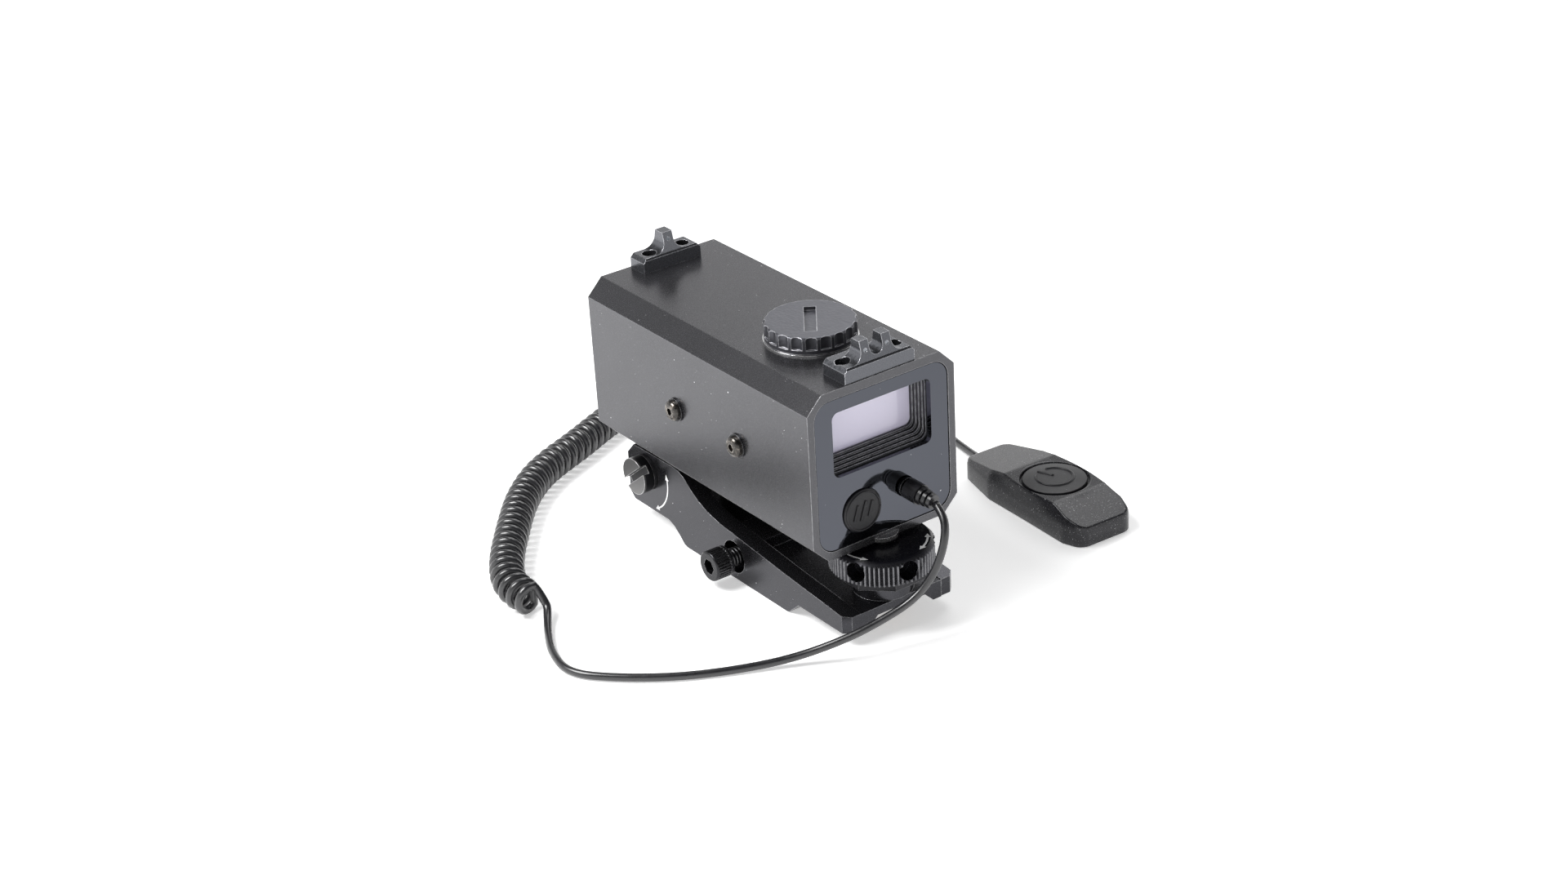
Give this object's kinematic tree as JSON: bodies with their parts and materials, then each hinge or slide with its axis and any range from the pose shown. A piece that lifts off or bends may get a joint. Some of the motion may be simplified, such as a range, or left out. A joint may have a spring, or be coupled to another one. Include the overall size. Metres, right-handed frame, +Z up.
{
  "type": "rail-mounted electronic sight",
  "caption": "Boxy electronic sight with a recessed display window, open sights, an adjustable rail base and a press-pad remote switch on a curly cord.",
  "frame": {"origin": "on the rail's top face, on the sight's mid-plane, under the clamp screw", "axes": "+X to the right seen by the user, +Y the way the sight aims, +Z up"},
  "size_m": [0.1628, 0.1672, 0.0807],
  "materials": {
    "black_anodised_aluminium": "satin black anodised",
    "glossy_black_panel": "mirror gloss",
    "black_moulding": "semi matt",
    "display_glass": "clear, lilac coated",
    "display": "pale grey-violet",
    "circuit_board": "green board",
    "button_rubber": "matt",
    "metal_nickel": "nickel plated",
    "machined_aluminium": "machined",
    "lens_glass": "coated",
    "battery_jacket": "printed sleeve without print",
    "bright_ring": "bright turned",
    "cap_plastic": "leather grain",
    "seal_rubber": "matt",
    "fibre": "light-gathering",
    "black_steel": "black oxide",
    "wheel_metal": "black with worn rim",
    "hard_steel": "bright",
    "bronze": "turned",
    "fibre_washer": "matt",
    "cord_jacket": "semi gloss",
    "white_ink": "printed lines",
    "remote_plastic": "sparkle texture"
  },
  "bodies": {
    "base": {"base": "black_anodised_aluminium", "elevation_bush": "bronze", "jaw_guide_pins": "black_steel", "friction_washer": "fibre_washer", "cord_lead_front": "cord_jacket", "cord_coil": "cord_jacket", "cord_lead_back": "cord_jacket", "remote_shell": "remote_plastic", "remote_plate": "remote_plastic", "remote_switch": "circuit_board", "remote_strain_relief": "cord_jacket"},
    "clamp_jaw": {"clamp_jaw": "black_anodised_aluminium"},
    "clamp_washer": {"clamp_washer": "black_steel"},
    "clamp_screw": {"clamp_screw": "black_steel"},
    "windage_screw": {"windage_screw": "black_steel", "windage_clip": "black_steel"},
    "trunnion": {"trunnion_barrel": "bronze", "preload_spring": "hard_steel"},
    "thrust_pin": {"thrust_pin": "hard_steel"},
    "elevation_wheel": {"elevation_wheel": "wheel_metal", "jack_screw": "black_steel"},
    "mode_button": {"mode_button": "button_rubber"},
    "remote_button": {"remote_button": "button_rubber"},
    "cap_contact": {"cap_contact": "metal_nickel"},
    "battery_cap": {"battery_cap": "cap_plastic", "cap_o_ring": "seal_rubber"},
    "housing": {"battery_cap_seat": "bright_ring", "battery_cell": "battery_jacket", "battery_holder": "black_moulding", "battery_spring": "metal_nickel", "bracket": "black_anodised_aluminium", "bracket_screws": "black_steel", "detector": "metal_nickel", "display_glass": "display_glass", "display_module": "display", "emitter_lens": "lens_glass", "emitter_tube": "machined_aluminium", "far_panel": "glossy_black_panel", "front_board": "circuit_board", "front_sight": "black_anodised_aluminium", "housing": "black_anodised_aluminium", "laser_diode": "metal_nickel", "lens_rings": "machined_aluminium", "main_board": "circuit_board", "mode_switch": "black_moulding", "optics_block": "machined_aluminium", "plug_boot": "cord_jacket", "plug_tip": "metal_nickel", "rear_sight": "black_anodised_aluminium", "receiver_lens": "lens_glass", "receiver_tube": "machined_aluminium", "remote_jack": "metal_nickel", "side_screws": "black_steel", "side_washers": "black_steel", "sight_fibres": "fibre", "sight_screws": "black_steel", "spring_anchor_pin": "black_steel", "thrust_pad": "hard_steel", "user_panel": "glossy_black_panel", "window_bezel": "black_moulding"}
  },
  "joints": [
    {"name": "clamp_jaw_slide", "type": "slide", "parent": "base", "child": "clamp_jaw", "axis": [1, 0, 0], "range_m": [0, 0.0015]},
    {"name": "clamp_washer_slide", "type": "slide", "parent": "clamp_jaw", "child": "clamp_washer", "axis": [1, 0, 0], "range_m": [0, 0.00641]},
    {"name": "clamp_screw_turn", "type": "hinge", "parent": "clamp_washer", "child": "clamp_screw", "pos_m": [-0.0224, 0, 0.0002], "axis": [1, 0, 0], "range_deg": [0, 2880]},
    {"name": "windage_screw_turn", "type": "hinge", "parent": "base", "child": "windage_screw", "pos_m": [-0.02, 0.041, 0.0098], "axis": [1, 0, 0], "range_deg": [-480, 480]},
    {"name": "windage_swing", "type": "hinge", "parent": "base", "child": "trunnion", "pos_m": [0, -0.0417, 0.0098], "axis": [0, 0, 1], "range_deg": [-0.7, 0.7], "deforming": ["cord_lead_front"]},
    {"name": "thrust_pin_slide", "type": "slide", "parent": "base", "child": "thrust_pin", "axis": [0, 0, 1], "range_m": [-0.00051, 0.00401]},
    {"name": "elevation_wheel_turn", "type": "hinge", "parent": "thrust_pin", "child": "elevation_wheel", "pos_m": [0, -0.0417, 0.0134], "axis": [0, 0, 1], "range_deg": [-225, 1800]},
    {"name": "elevation_tilt", "type": "hinge", "parent": "trunnion", "child": "housing", "pos_m": [0, 0.041, 0.0098], "axis": [-1, 0, 0], "range_deg": [-0.36, 2.8], "deforming": ["preload_spring", "cord_lead_front"]},
    {"name": "mode_button_press", "type": "slide", "parent": "housing", "child": "mode_button", "axis": [0, 1, 0], "range_m": [0, 0.0006], "stiffness_N_per_m": 2500, "springref_m": -0.0002},
    {"name": "remote_button_press", "type": "slide", "parent": "base", "child": "remote_button", "axis": [0, 0, -1], "range_m": [0, 0.0008], "stiffness_N_per_m": 2500, "springref_m": -0.0003},
    {"name": "cap_contact_lift", "type": "slide", "parent": "housing", "child": "cap_contact", "axis": [0, 0, 1], "range_m": [0, 0.00401]},
    {"name": "battery_cap_turn", "type": "hinge", "parent": "cap_contact", "child": "battery_cap", "pos_m": [0, -0.0152, 0.0675], "axis": [0, 0, 1], "range_deg": [0, 1440]}
  ],
  "couplings": [
    {"joint": "clamp_washer_slide", "follows": "clamp_screw_turn", "m_per_rad": 0.00012732},
    {"joint": "windage_swing", "follows": "windage_screw_turn", "ratio": 0.0014434},
    {"joint": "thrust_pin_slide", "follows": "elevation_wheel_turn", "m_per_rad": 0.00012732},
    {"joint": "elevation_tilt", "follows": "elevation_wheel_turn", "ratio": 0.0015396},
    {"joint": "cap_contact_lift", "follows": "battery_cap_turn", "m_per_rad": 0.00015915}
  ]
}
